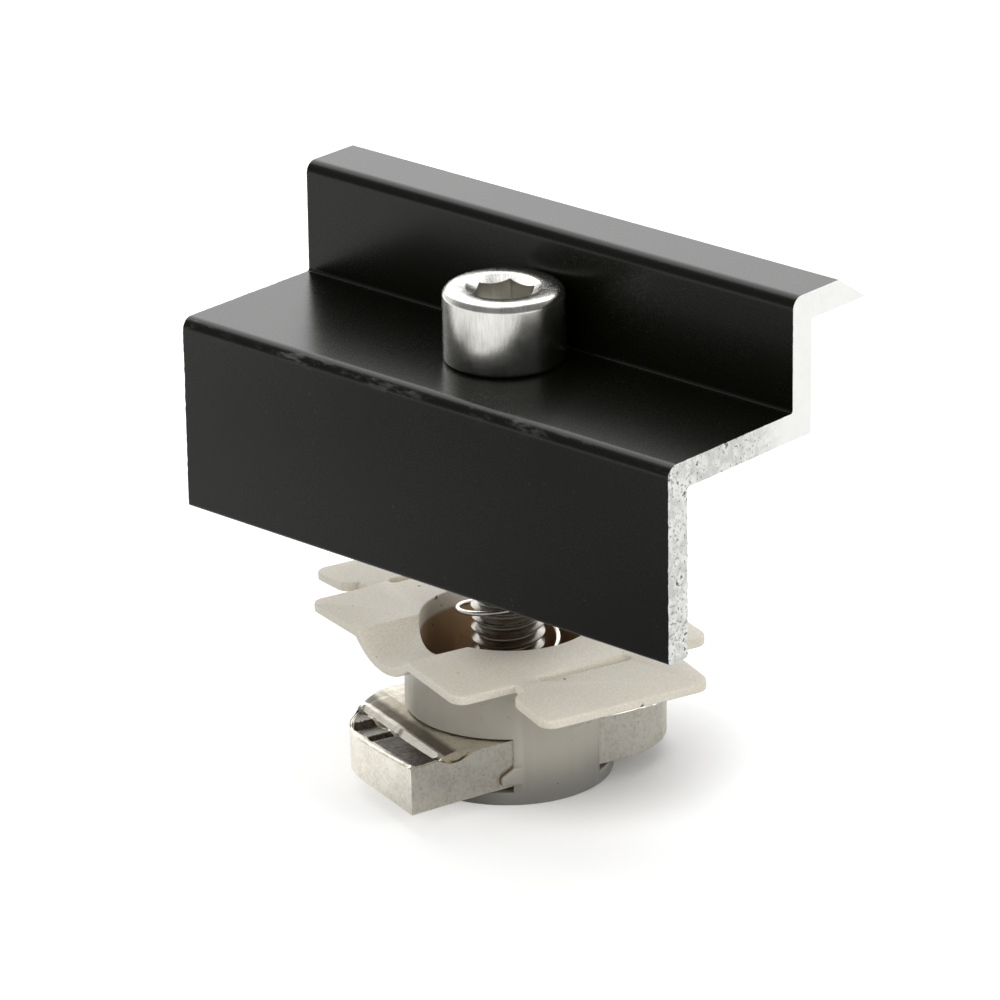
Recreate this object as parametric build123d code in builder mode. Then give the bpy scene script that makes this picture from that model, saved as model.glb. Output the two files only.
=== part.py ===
from build123d import *
import os
from math import atan2, cos, radians, sin, sqrt

# End clamp for a framed solar module, with its screw, its spring and its quarter-turn rail nut.
# The frame stands on the floor under the screw's axis: +X runs along the clamp's profile, +Y points
# to the module that the clamp's flange holds down, and +Z is up. All sizes are in millimetres.

# Clamp profile: a Z-shaped extrusion, seen along X
profile_length = 68.0
hole_offset = 0.45
profile_wall = 3.0
leg_front_reach = 13.1
upper_wall_front = 6.65
leg_height = 21.6
upper_wall_height = 12.5
flange_flat = 7.4
flange_nose = 12.2
outer_corner_radius = 1.3
inner_corner_radius = 0.3
edge_radius = 0.3
nose_radius = 0.15

# Socket head cap screw, metric size 8, plain where its thread is cut
screw_diameter = 8.0
screw_length = 45.0
head_diameter = 13.0
head_height = 8.0
head_top_radius = 0.9
head_foot_radius = 0.5
socket_across_flats = 6.0
socket_depth = 4.8
socket_mouth_diameter = 8.0
socket_mouth_depth = 0.7
socket_point_depth = 0.6
screw_tip_chamfer = 0.8
screw_hole_clearance = 0.5

# Rail nut: a bar with two rounded corners, so that it can turn inside the rail
nut_length = 36.2
nut_width = 20.8
nut_waist = 19.2
nut_corner_radius = 9.5
nut_thickness = 5.3
thread_clearance = 0.05
tooth_groove_depth = 1.0
tooth_band_drop = 0.45
tooth_band_length = 3.9
tooth_floor_length = 2.5
tooth_bevel_length = 1.2
tooth_rib_width = 2.6
tooth_rib_spacing = 4.6
cut_margin = 1.0

# Nut retainer: a moulded cup with a springy plate on top
cup_diameter = 22.4
cup_bore = 19.0
nut_seat_height = 2.2
slot_sill_height = 1.5
slot_clearance = 0.2
slot_roof_clearance = 0.1
seat_width = 1.5
catch_length = 1.5
catch_foot_height = 2.65
catch_root_height = 1.8
catch_tip_height = 1.0
catch_thickness = 0.5
catch_root = 1.2
plate_thickness = 1.0
plate_crown_height = 17.35
plate_arch_radius = 270.0
plate_length = 31.2
plate_width = 31.4
plate_corner_radius = 1.6
neck_length = 16.8
notch_width = 1.8
tab_length = 20.4
tab_width = 7.1
tab_corner_radius = 1.6
slit_length = 11.2
slit_width = 1.3
valley_width = 10.4
valley_depth = 2.1

# Compression spring
wire_diameter = 0.55
spring_diameter = 11.3
closed_coils = 1.0
active_coils = 5.2
closed_coil_gap = 0.05
spring_seat_clearance = 0.1
easing_coils = 0.5
points_per_coil = 6
wire_sides = 8

# Places that the parts share
rail_unit_angle = 72.3
spring_start_angle = 13.1
screw_tip_height = 1.6
web_top = screw_tip_height + screw_length
web_bottom = web_top - profile_wall
nut_top = nut_seat_height + nut_thickness
screw_radius = screw_diameter / 2
half_nut_length = nut_length / 2
half_nut_width = nut_width / 2
rail_plane = Plane.XY.rotated((0, 0, rail_unit_angle))
across_plane = Plane(origin=(0, 0, 0), x_dir=rail_plane.y_dir, z_dir=rail_plane.x_dir)
along_plane = Plane(origin=(0, 0, 0), x_dir=rail_plane.x_dir, z_dir=-rail_plane.y_dir)

os.makedirs("parts", exist_ok=True)


def corners_at(vertices, points):
    """Pick the sketch's vertices that lie at the given points."""
    return [vertices.sort_by_distance((across, up, 0))[0] for across, up in points]


# Clamp profile: one extruded Z section with a drilled web
foot_height = web_top - leg_height
flange_top = web_top + upper_wall_height
flange_underside = flange_top - profile_wall
leg_back = profile_wall - leg_front_reach
upper_wall_back = upper_wall_front + profile_wall
leg_shoulder = (-leg_front_reach, web_top)
leg_foot_front = (-leg_front_reach, foot_height)
leg_foot_back = (leg_back, foot_height)
leg_root = (leg_back, web_bottom)
wall_root = (upper_wall_front, web_top)
wall_heel = (upper_wall_back, web_bottom)
flange_shoulder = (upper_wall_front, flange_top)
flange_root = (upper_wall_back, flange_underside)
flange_flat_end = (upper_wall_front + flange_flat, flange_top)
flange_tip = (upper_wall_front + flange_nose, flange_underside)
with BuildPart() as clamp_profile:
    with BuildSketch(Plane.YZ.offset(-hole_offset)) as z_section:
        with BuildLine():
            Polyline(
                leg_foot_front,
                leg_shoulder,
                wall_root,
                flange_shoulder,
                flange_flat_end,
                flange_tip,
                flange_root,
                wall_heel,
                leg_root,
                leg_foot_back,
                close=True,
            )
        make_face()
        outer_corners = corners_at(z_section.vertices(), (leg_shoulder, flange_shoulder))
        fillet(outer_corners, radius=outer_corner_radius)
        inner_corners = corners_at(z_section.vertices(), (wall_root, leg_root, flange_root))
        fillet(inner_corners, radius=inner_corner_radius)
        crisp_edges = (leg_foot_front, leg_foot_back, flange_flat_end, wall_heel)
        fillet(corners_at(z_section.vertices(), crisp_edges), radius=edge_radius)
        fillet(corners_at(z_section.vertices(), [flange_tip]), radius=nose_radius)
    extrude(amount=profile_length / 2, both=True)
    with Locations((0, 0, web_top)):
        Hole(radius=screw_radius + screw_hole_clearance)
clamp_profile.part.label = "clamp_profile"
export_step(clamp_profile.part, "parts/clamp_profile.step")

# Socket screw: a turned blank with a countersunk hexagon socket
head_top = web_top + head_height
head_radius = head_diameter / 2
socket_floor = head_top - socket_depth
socket_corner_radius = socket_across_flats / 2 / cos(radians(30))
with BuildPart() as socket_screw:
    with BuildSketch(Plane.XZ) as blank:
        with BuildLine():
            Polyline(
                (0, screw_tip_height),
                (screw_radius - screw_tip_chamfer, screw_tip_height),
                (screw_radius, screw_tip_height + screw_tip_chamfer),
                (screw_radius, web_top),
                (head_radius, web_top),
                (head_radius, head_top),
                (0, head_top),
                close=True,
            )
        make_face()
        fillet(corners_at(blank.vertices(), [(head_radius, head_top)]), radius=head_top_radius)
        fillet(corners_at(blank.vertices(), [(head_radius, web_top)]), radius=head_foot_radius)
    revolve(axis=Axis.Z)
    with BuildSketch(Plane.XY.offset(socket_floor)):
        RegularPolygon(radius=socket_corner_radius, side_count=6)
    extrude(amount=socket_depth, mode=Mode.SUBTRACT)
    with BuildSketch(Plane.XZ):
        with BuildLine():
            Polyline(
                (0, head_top),
                (socket_mouth_diameter / 2, head_top),
                (socket_across_flats / 2, head_top - socket_mouth_depth),
                (socket_across_flats / 2, socket_floor),
                (0, socket_floor - socket_point_depth),
                close=True,
            )
        make_face()
    revolve(axis=Axis.Z, mode=Mode.SUBTRACT)
socket_screw.part.label = "socket_screw"
export_step(socket_screw.part, "parts/socket_screw.step")

# Rail nut: waisted sides, two square corners and two rounded ones
tooth_floor_outer = half_nut_length - tooth_band_length
tooth_floor_inner = tooth_floor_outer - tooth_floor_length
tooth_groove_inner = tooth_floor_inner - tooth_bevel_length
tooth_floor_height = nut_top - tooth_groove_depth
cut_beyond = half_nut_length + cut_margin
cut_ceiling = nut_top + cut_margin
with BuildPart() as rail_nut:
    with BuildSketch(rail_plane.offset(nut_seat_height)) as nut_outline:
        with BuildLine():
            ThreePointArc(
                (-half_nut_length, -half_nut_width),
                (0, -nut_waist / 2),
                (half_nut_length, -half_nut_width),
            )
            Line((half_nut_length, -half_nut_width), (half_nut_length, half_nut_width))
            ThreePointArc(
                (half_nut_length, half_nut_width),
                (0, nut_waist / 2),
                (-half_nut_length, half_nut_width),
            )
            Line((-half_nut_length, half_nut_width), (-half_nut_length, -half_nut_width))
        make_face()
        turning_corners = ((half_nut_length, -half_nut_width), (-half_nut_length, half_nut_width))
        fillet(corners_at(nut_outline.vertices(), turning_corners), radius=nut_corner_radius)
    extrude(amount=nut_thickness)
    with BuildSketch(along_plane):
        for side in (-1, 1):
            with BuildLine():
                Polyline(
                    (side * cut_beyond, nut_top - tooth_band_drop),
                    (side * tooth_floor_outer, nut_top - tooth_band_drop),
                    (side * tooth_floor_outer, tooth_floor_height),
                    (side * tooth_floor_inner, tooth_floor_height),
                    (side * tooth_groove_inner, nut_top),
                    (side * tooth_groove_inner, cut_ceiling),
                    (side * cut_beyond, cut_ceiling),
                    close=True,
                )
            make_face()
    extrude(amount=nut_width, both=True, mode=Mode.SUBTRACT)
    for side in (-1, 1):
        for rib in (0, 1):
            rib_centre = side * (half_nut_width - tooth_rib_spacing * (rib + 0.75))
            with BuildSketch(across_plane.offset(side * tooth_floor_outer)):
                with BuildLine():
                    Polyline(
                        (-rib_centre - tooth_rib_width / 2, tooth_floor_height),
                        (-rib_centre, nut_top - tooth_band_drop),
                        (-rib_centre + tooth_rib_width / 2, tooth_floor_height),
                        close=True,
                    )
                make_face()
            extrude(amount=-side * tooth_floor_length)
    with Locations((0, 0, nut_top)):
        Hole(radius=screw_radius + thread_clearance)
rail_nut.part.label = "rail_nut"
export_step(rail_nut.part, "parts/rail_nut.step")

# Nut retainer: the arched plate with its tabs, valleys and slits, then the slotted cup
cup_radius = cup_diameter / 2
bore_radius = cup_bore / 2
plate_outline_height = plate_crown_height + plate_thickness
tab_reach = plate_width / 2 + notch_width + tab_width
tab_centre = plate_width / 2 + notch_width + tab_width / 2
arch_centre_height = plate_crown_height - plate_arch_radius
arch_drop_at_valley = plate_arch_radius - sqrt(plate_arch_radius**2 - (valley_width / 2) ** 2)
valley_lip_height = plate_crown_height - arch_drop_at_valley
valley_floor_height = valley_lip_height - valley_depth
valley_radius = ((valley_width / 2) ** 2 + valley_depth**2) / (2 * valley_depth)
valley_start = sqrt(bore_radius**2 - (valley_width / 2) ** 2)
valley_reach = plate_length / 2 - valley_start
slot_roof_height = nut_top + slot_roof_clearance
slot_height = slot_roof_height - slot_sill_height
slot_half_width = nut_waist / 2 + slot_clearance
wall_edge = sqrt(cup_radius**2 - slot_half_width**2)
catch_root_top = catch_foot_height + catch_root_height
catch_tip_top = catch_foot_height + catch_tip_height
with BuildPart() as nut_retainer:
    with BuildSketch(rail_plane) as outline:
        RectangleRounded(plate_length, plate_width, plate_corner_radius)
        Rectangle(neck_length, plate_width + 2 * notch_width + tab_width)
        with Locations((0, tab_centre), (0, -tab_centre)):
            RectangleRounded(tab_length, tab_width, tab_corner_radius)
    extrude(amount=plate_outline_height)
    with BuildSketch(across_plane):
        with Locations((0, arch_centre_height)):
            Circle(plate_arch_radius)
            Circle(plate_arch_radius - plate_thickness, mode=Mode.SUBTRACT)
        with Locations((0, plate_crown_height)):
            Rectangle(2 * tab_reach, plate_crown_height, mode=Mode.INTERSECT)
    extrude(amount=plate_length, both=True, mode=Mode.INTERSECT)
    with BuildSketch(rail_plane):
        Circle(cup_radius)
    extrude(amount=plate_crown_height - plate_thickness)
    for side in (-1, 1):
        with BuildSketch(across_plane.offset(side * valley_start)):
            with Locations((0, valley_floor_height + valley_radius)):
                Circle(valley_radius)
        extrude(amount=side * plate_length, mode=Mode.SUBTRACT)
        with BuildSketch(across_plane.offset(side * valley_start)):
            with Locations((0, valley_floor_height + valley_radius)):
                Circle(valley_radius + plate_thickness)
                Circle(valley_radius, mode=Mode.SUBTRACT)
            with Locations((0, arch_centre_height)):
                Circle(plate_arch_radius, mode=Mode.INTERSECT)
        extrude(amount=side * valley_reach)
    with BuildSketch(rail_plane):
        Circle(bore_radius)
    extrude(amount=plate_outline_height, mode=Mode.SUBTRACT)
    with BuildSketch(rail_plane):
        with Locations((0, plate_width / 2), (0, -plate_width / 2)):
            SlotOverall(slit_length, slit_width)
    extrude(amount=plate_outline_height, mode=Mode.SUBTRACT)
    with BuildSketch(rail_plane.offset(slot_sill_height)):
        Rectangle(plate_length, 2 * slot_half_width)
    extrude(amount=slot_height, mode=Mode.SUBTRACT)
    with BuildSketch(rail_plane):
        Circle(bore_radius)
        Circle(bore_radius - seat_width, mode=Mode.SUBTRACT)
    extrude(amount=nut_seat_height)
    for side in (-1, 1):
        with BuildSketch(along_plane.offset(-side * slot_half_width)):
            with BuildLine():
                Polyline(
                    (side * (wall_edge - catch_root), catch_foot_height),
                    (side * (wall_edge + catch_length), catch_foot_height),
                    (side * (wall_edge + catch_length), catch_tip_top),
                    (side * wall_edge, catch_root_top),
                    (side * (wall_edge - catch_root), catch_root_top),
                    close=True,
                )
            make_face()
        extrude(amount=-side * catch_thickness)
nut_retainer.part.label = "nut_retainer"
export_step(nut_retainer.part, "parts/nut_retainer.step")

# Compression spring: right-hand coils from the nut up to the web, closed at both ends
spring_radius = (spring_diameter - wire_diameter) / 2
wire_radius = wire_diameter / 2
spring_foot = nut_top + spring_seat_clearance + wire_radius
spring_height = web_bottom - spring_seat_clearance - wire_radius - spring_foot
coil_count = 2 * closed_coils + active_coils
closed_pitch = wire_diameter + closed_coil_gap
extra_rise = spring_height - closed_pitch * coil_count
extra_pitch = extra_rise / (active_coils - easing_coils)


def rise_from_end(turns):
    """Return the height gained over so many turns from a closed end, up to the spring's middle."""
    opened = max(0, turns - closed_coils)
    eased = min(opened, easing_coils)
    return closed_pitch * turns + extra_pitch * (opened - eased + eased**2 / (2 * easing_coils))


def coil_point(turns):
    """Return the wire's centre after so many turns from the spring's foot."""
    if turns > coil_count / 2:
        rise = spring_height - rise_from_end(coil_count - turns)
    else:
        rise = rise_from_end(turns)
    angle = radians(spring_start_angle + 360 * turns)
    return (spring_radius * cos(angle), spring_radius * sin(angle), spring_foot + rise)


point_count = round(coil_count * points_per_coil)
with BuildPart() as compression_spring:
    with BuildLine():
        coil = Spline([coil_point(coil_count * index / point_count) for index in range(point_count + 1)])
    with BuildSketch(Plane(origin=coil @ 0, x_dir=(0, 0, 1), z_dir=coil % 0)):
        RegularPolygon(radius=wire_radius, side_count=wire_sides)
    sweep(path=coil, is_frenet=True)
compression_spring.part.label = "compression_spring"
export_step(compression_spring.part, "parts/compression_spring.step")
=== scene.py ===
"""Dresses the solar end clamp: black profile, socket screw, spring, rail nut and its moulded retainer.

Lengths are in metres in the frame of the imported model: +X runs along the clamp's profile, +Y points to
the module that its flange holds down, and +Z is up from the floor under the screw's axis.
"""
import logging
import math
from dataclasses import dataclass
from enum import Enum
from typing import Callable, Iterable, Optional, Union

import bmesh
import bpy
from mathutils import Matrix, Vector


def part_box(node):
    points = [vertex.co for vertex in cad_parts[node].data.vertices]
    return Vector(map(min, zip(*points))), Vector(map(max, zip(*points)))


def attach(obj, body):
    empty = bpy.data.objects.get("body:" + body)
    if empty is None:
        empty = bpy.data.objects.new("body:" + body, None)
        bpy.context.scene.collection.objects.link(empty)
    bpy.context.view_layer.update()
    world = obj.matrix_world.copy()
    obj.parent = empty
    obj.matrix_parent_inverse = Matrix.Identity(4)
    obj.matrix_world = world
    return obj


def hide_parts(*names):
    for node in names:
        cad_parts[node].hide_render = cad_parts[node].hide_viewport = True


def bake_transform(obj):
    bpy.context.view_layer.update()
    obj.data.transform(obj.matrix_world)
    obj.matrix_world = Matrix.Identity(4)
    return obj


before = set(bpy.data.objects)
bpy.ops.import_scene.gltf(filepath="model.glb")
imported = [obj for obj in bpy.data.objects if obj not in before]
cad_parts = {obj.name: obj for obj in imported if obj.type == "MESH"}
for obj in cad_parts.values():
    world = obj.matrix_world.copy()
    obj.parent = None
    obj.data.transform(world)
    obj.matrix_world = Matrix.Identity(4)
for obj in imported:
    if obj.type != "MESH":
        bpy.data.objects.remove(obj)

MM = 0.001
HAIR = 0.001 * MM
LOG = logging.getLogger("end_clamp")
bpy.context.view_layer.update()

Colour = tuple[float, float, float]
Point = tuple[float, float, float]


class Slot(Enum):
    """The record's material slots."""

    PROFILE = "anodised_profile"
    SCREW = "screw_steel"
    SPRING = "spring_wire"
    PLASTIC = "moulded_plastic"
    NUT = "nut_steel"


# Shader graphs


class Value:
    """A shader socket that adds Math nodes when it is used in a Python expression."""

    def __init__(self, graph: "ShaderGraph", socket: bpy.types.NodeSocket) -> None:
        """Wrap a socket.

        Args:
            graph: The graph that the socket belongs to.
            socket: The output socket that carries the value.
        """
        self.graph = graph
        self.socket = socket

    def _math(self, operation: str, *inputs: Union["Value", float]) -> "Value":
        """Return the value of a Math node on these inputs."""
        return self.graph.node("ShaderNodeMath", {"operation": operation}, *inputs).out()

    def __add__(self, other: Union["Value", float]) -> "Value":
        """Return the sum."""
        return self._math("ADD", self, other)

    def __radd__(self, other: float) -> "Value":
        """Return the sum with a number on the left."""
        return self._math("ADD", other, self)

    def __sub__(self, other: Union["Value", float]) -> "Value":
        """Return the difference."""
        return self._math("SUBTRACT", self, other)

    def __rsub__(self, other: float) -> "Value":
        """Return the difference from a number."""
        return self._math("SUBTRACT", other, self)

    def __mul__(self, other: Union["Value", float]) -> "Value":
        """Return the product."""
        return self._math("MULTIPLY", self, other)

    def __rmul__(self, other: float) -> "Value":
        """Return the product with a number on the left."""
        return self._math("MULTIPLY", other, self)

    def __pow__(self, other: Union["Value", float]) -> "Value":
        """Return the power."""
        return self._math("POWER", self, other)

    def __abs__(self) -> "Value":
        """Return the size without its sign."""
        return self._math("ABSOLUTE", self)

    def above(self, edge: float) -> "Value":
        """Return 1 where the value is over an edge, and 0 elsewhere."""
        return self._math("GREATER_THAN", self, edge)

    def ramp(self, low: float, high: float) -> "Value":
        """Return a smooth step from 0 at the low value to 1 at the high value."""
        settings = {"interpolation_type": "SMOOTHSTEP"}
        return self.graph.node("ShaderNodeMapRange", settings, self, low, high, 0.0, 1.0).out()

    def between(self, low: float, full: float, hold: float, high: float) -> "Value":
        """Return a smooth step up from the low value to full, and down from hold to the high value."""
        return self.ramp(low, full) * (1.0 - self.ramp(hold, high))


class NodeHandle:
    """A node with short ways to reach its outputs."""

    def __init__(self, graph: "ShaderGraph", node: bpy.types.Node) -> None:
        """Wrap a node.

        Args:
            graph: The graph that the node belongs to.
            node: The Blender node.
        """
        self.graph = graph
        self.node = node

    def out(self, which: Union[int, str] = 0) -> Value:
        """Return one of the node's shown outputs.

        Args:
            which: The output's place or its name.

        Returns:
            The output's value.
        """
        shown = [socket for socket in self.node.outputs if socket.enabled]
        if isinstance(which, int):
            return Value(self.graph, shown[which])
        return Value(self.graph, next(socket for socket in shown if socket.name == which))


class ShaderGraph:
    """The node tree of one material, or of the world."""

    def __init__(self, name: str) -> None:
        """Make an empty material.

        Args:
            name: The material's name.
        """
        self.material = bpy.data.materials.new(name)
        self.material.use_nodes = True
        self.tree = self.material.node_tree
        self.tree.nodes.clear()

    @classmethod
    def on(cls, tree: bpy.types.NodeTree) -> "ShaderGraph":
        """Start a graph on the node tree of something else, emptied first.

        Args:
            tree: The node tree, such as the world's.

        Returns:
            The graph.
        """
        graph = cls.__new__(cls)
        graph.tree = tree
        tree.nodes.clear()
        return graph

    def node(self, kind: str, settings: Optional[dict] = None,
             *inputs: Union[Value, float, tuple, None],
             **named: Union[Value, float, tuple]) -> NodeHandle:
        """Add a node, give it its settings and then its inputs.

        Args:
            kind: The node's type, such as ShaderNodeTexNoise.
            settings: Attributes of the node, such as a Math node's operation.
            inputs: Values or links of the shown inputs, in order; None leaves one alone.
            named: Values or links of inputs by name, with _ for a space.

        Returns:
            The node's handle.
        """
        node = self.tree.nodes.new(kind)
        for name, value in (settings or {}).items():
            setattr(node, name, value)
        shown = [socket for socket in node.inputs if socket.enabled]
        for socket, value in zip(shown, inputs):
            self._feed(socket, value)
        for name, value in named.items():
            wanted = name.replace("_", " ")
            self._feed(next(socket for socket in shown if socket.name == wanted), value)
        return NodeHandle(self, node)

    def _feed(self, socket: bpy.types.NodeSocket, value: Union[Value, float, tuple, None]) -> None:
        """Link a value to a socket, or set the socket's own value.

        Args:
            socket: The input socket.
            value: What it gets; None leaves it alone.
        """
        if isinstance(value, Value):
            self.tree.links.new(value.socket, socket)
        elif isinstance(value, tuple) and len(value) == 3 and socket.type == "RGBA":
            socket.default_value = (*value, 1.0)
        elif value is not None:
            socket.default_value = value

    def place(self, scale: Point = (1.0, 1.0, 1.0), turn: Point = (0.0, 0.0, 0.0)) -> Value:
        """Return the object's own coordinates, scaled and turned.

        Args:
            scale: The scale along each axis.
            turn: The turn about each axis, in degrees.

        Returns:
            The mapped coordinates.
        """
        coordinates = self.node("ShaderNodeTexCoord").out("Object")
        angles = tuple(math.radians(angle) for angle in turn)
        return self.node("ShaderNodeMapping", {"vector_type": "TEXTURE"}, coordinates, None, angles,
                         tuple(1.0 / size for size in scale)).out()

    def noise(self, where: Value, scale: float, detail: float = 3.0, roughness: float = 0.55) -> Value:
        """Return fractal noise from 0 to 1, with the scale in cells per metre."""
        return self.node("ShaderNodeTexNoise", None, where, Scale=scale, Detail=detail,
                         Roughness=roughness).out()

    def axes(self, vector: Value) -> tuple[Value, Value, Value]:
        """Return a vector's parts along, across and up."""
        split = self.node("ShaderNodeSeparateXYZ", None, vector)
        return split.out(0), split.out(1), split.out(2)

    def mix(self, factor: Union[Value, float], low: Union[Value, Colour],
            high: Union[Value, Colour]) -> Value:
        """Return a mix of two colours."""
        return self.node("ShaderNodeMix", {"data_type": "RGBA"}, factor, low, high).out()

    def bump(self, height: Value, strength: float, distance: float) -> Value:
        """Return a normal that a height field tilts.

        Args:
            height: The height field, about 0 to 1.
            strength: How much of the bump shows, 0 to 1.
            distance: The height in metres of a value of 1.

        Returns:
            The normal.
        """
        return self.node("ShaderNodeBump", None, Height=height, Strength=strength,
                         Distance=distance).out()

    def surface(self, **inputs: Union[Value, float, tuple]) -> bpy.types.Material:
        """Finish the material with one Principled shader.

        Args:
            inputs: The shader's inputs by name, with _ for a space.

        Returns:
            The finished material.
        """
        shader = self.node("ShaderNodeBsdfPrincipled", None, **inputs)
        self.node("ShaderNodeOutputMaterial", None, shader.out())
        return self.material


# Modelling by hand


class Pick(Enum):
    """What an edit-mode selection holds."""

    VERTEX = "VERT"
    EDGE = "EDGE"
    FACE = "FACE"


class Piece:
    """One mesh object that is modelled with Blender's own tools."""

    def __init__(self, name: str) -> None:
        """Take the primitive that was just added as the start of a piece.

        Args:
            name: The piece's name.
        """
        self.object = bpy.context.active_object
        self.object.name = name
        self.object.data.name = name

    @classmethod
    def rod(cls, name: str, radius: float, low: float, high: float, sides: int = 96) -> "Piece":
        """Start a piece from an upright cylinder on the screw's axis.

        Args:
            name: The piece's name.
            radius: The cylinder's radius.
            low: The height of its foot.
            high: The height of its top.
            sides: The number of its sides.

        Returns:
            The piece.
        """
        bpy.ops.object.select_all(action="DESELECT")
        bpy.ops.mesh.primitive_cylinder_add(vertices=sides, radius=radius, depth=high - low,
                                            location=(0.0, 0.0, (low + high) / 2))
        piece = cls(name)
        piece.settle()
        return piece

    @classmethod
    def grid(cls, name: str, columns: int, rows: int, size: float) -> "Piece":
        """Start a piece from a flat square grid round the screw's axis.

        Args:
            name: The piece's name.
            columns: How many faces lie along X.
            rows: How many faces lie along Y.
            size: The length of a side.

        Returns:
            The piece.
        """
        bpy.ops.object.select_all(action="DESELECT")
        bpy.ops.mesh.primitive_grid_add(x_subdivisions=columns, y_subdivisions=rows, size=size)
        return cls(name)

    @classmethod
    def line(cls, name: str, points: list[Point]) -> "Piece":
        """Start a piece from a plane merged to one vertex, extruded from point to point.

        Args:
            name: The piece's name.
            points: The line's points, in order.

        Returns:
            The piece.
        """
        bpy.ops.object.select_all(action="DESELECT")
        bpy.ops.mesh.primitive_plane_add(size=MM, location=points[0])
        piece = cls(name)
        piece.settle()
        bpy.ops.object.mode_set(mode="EDIT")
        bpy.ops.mesh.select_mode(type="VERT")
        bpy.ops.mesh.select_all(action="SELECT")
        bpy.ops.mesh.merge(type="CENTER")
        for start, end in zip(points, points[1:]):
            step = Vector(end) - Vector(start)
            bpy.ops.mesh.extrude_region_move(TRANSFORM_OT_translate={"value": step})
        bpy.ops.object.mode_set(mode="OBJECT")
        return piece

    @classmethod
    def turned(cls, name: str, profile: list[tuple[float, float]], sides: int = 96) -> "Piece":
        """Make a closed turned shape by spinning a profile once round Z.

        Args:
            name: The piece's name.
            profile: Pairs of a radius and a height, from axis to axis.
            sides: The number of steps of the spin.

        Returns:
            The piece.
        """
        piece = cls.line(name, [(radius, 0.0, height) for radius, height in profile])
        piece.pick(Pick.VERTEX, lambda centre, normal: True)
        piece.edit(bpy.ops.mesh.spin, steps=sides, angle=math.tau, center=(0.0, 0.0, 0.0),
                   axis=(0.0, 0.0, 1.0))
        piece.clean()
        return piece

    @classmethod
    def copied(cls, name: str, node: str) -> "Piece":
        """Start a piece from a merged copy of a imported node, with its flat faces made whole.

        Args:
            name: The piece's name.
            node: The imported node.

        Returns:
            The piece.
        """
        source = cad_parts[node]
        bpy.ops.object.select_all(action="DESELECT")
        copy = bpy.data.objects.new(name, source.data.copy())
        bpy.context.scene.collection.objects.link(copy)
        copy.select_set(True)
        bpy.context.view_layer.objects.active = copy
        piece = cls(name)
        piece.pick(Pick.VERTEX, lambda centre, normal: True)
        piece.edit(bpy.ops.mesh.remove_doubles, threshold=0.002 * MM)
        piece.pick(Pick.FACE, lambda centre, normal: True)
        piece.edit(bpy.ops.mesh.dissolve_limited, angle_limit=math.radians(2.0), delimit={"NORMAL"})
        return piece

    def focus(self) -> None:
        """Make the piece the only selected object, and the active one."""
        bpy.ops.object.select_all(action="DESELECT")
        self.object.select_set(True)
        bpy.context.view_layer.objects.active = self.object

    def settle(self) -> None:
        """Put the object's place, turn and size into its mesh."""
        self.focus()
        bpy.ops.object.transform_apply(location=True, rotation=True, scale=True)

    def pick(self, kind: Pick, test: Callable[[Vector, Vector], bool]) -> None:
        """Select the elements that pass a test, and nothing else.

        Args:
            kind: Which elements are tested.
            test: A test of an element's centre and its normal, or an edge's direction.
        """
        self.focus()
        bpy.ops.object.mode_set(mode="EDIT")
        bpy.ops.mesh.select_mode(type=kind.value)
        bpy.ops.mesh.select_all(action="DESELECT")
        mesh = bmesh.from_edit_mesh(self.object.data)
        if kind is Pick.VERTEX:
            for vertex in mesh.verts:
                vertex.select_set(test(vertex.co, vertex.normal))
        elif kind is Pick.EDGE:
            for edge in mesh.edges:
                ends = edge.verts[0].co, edge.verts[1].co
                edge.select_set(test((ends[0] + ends[1]) / 2, (ends[1] - ends[0]).normalized()))
        else:
            for face in mesh.faces:
                face.select_set(test(face.calc_center_median(), face.normal))
        mesh.select_flush_mode()
        bmesh.update_edit_mesh(self.object.data)
        bpy.ops.object.mode_set(mode="OBJECT")

    def edit(self, tool: Callable, **settings: object) -> None:
        """Run an edit-mode tool on what is selected.

        Args:
            tool: The tool.
            settings: The tool's settings.
        """
        self.focus()
        bpy.ops.object.mode_set(mode="EDIT")
        tool(**settings)
        bpy.ops.object.mode_set(mode="OBJECT")

    def run(self, step: Point, count: int = 1) -> None:
        """Extrude what is selected by the same step, once or more.

        Args:
            step: The step.
            count: How many times it is made.
        """
        self.focus()
        bpy.ops.object.mode_set(mode="EDIT")
        for _ in range(count):
            bpy.ops.mesh.extrude_region_move(TRANSFORM_OT_translate={"value": step})
        bpy.ops.object.mode_set(mode="OBJECT")

    def slice(self, point: Point, normal: Point) -> None:
        """Cut off what lies on the normal's side of a plane, and close the cut.

        Args:
            point: A point of the plane.
            normal: The plane's normal.
        """
        self.pick(Pick.FACE, lambda centre, facing: True)
        self.edit(bpy.ops.mesh.bisect, plane_co=point, plane_no=normal, use_fill=True,
                  clear_outer=True, threshold=1e-7)

    def clean(self) -> None:
        """Merge doubles and turn the faces outwards."""
        self.pick(Pick.VERTEX, lambda centre, normal: True)
        self.edit(bpy.ops.mesh.remove_doubles, threshold=1e-6)
        self.pick(Pick.FACE, lambda centre, normal: True)
        self.edit(bpy.ops.mesh.normals_make_consistent, inside=False)

    def reshape(self, rule: Callable[[Vector], Vector]) -> None:
        """Move every vertex to where a rule puts it."""
        for vertex in self.object.data.vertices:
            vertex.co = rule(vertex.co.copy())

    def modify(self, kind: str, **settings: object) -> None:
        """Add a modifier to the piece and apply it.

        Args:
            kind: The modifier's type.
            settings: The modifier's settings.
        """
        modifier = self.object.modifiers.new(kind.title(), kind)
        for name, value in settings.items():
            setattr(modifier, name, value)
        self.focus()
        bpy.ops.object.modifier_apply(modifier=modifier.name)

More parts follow.
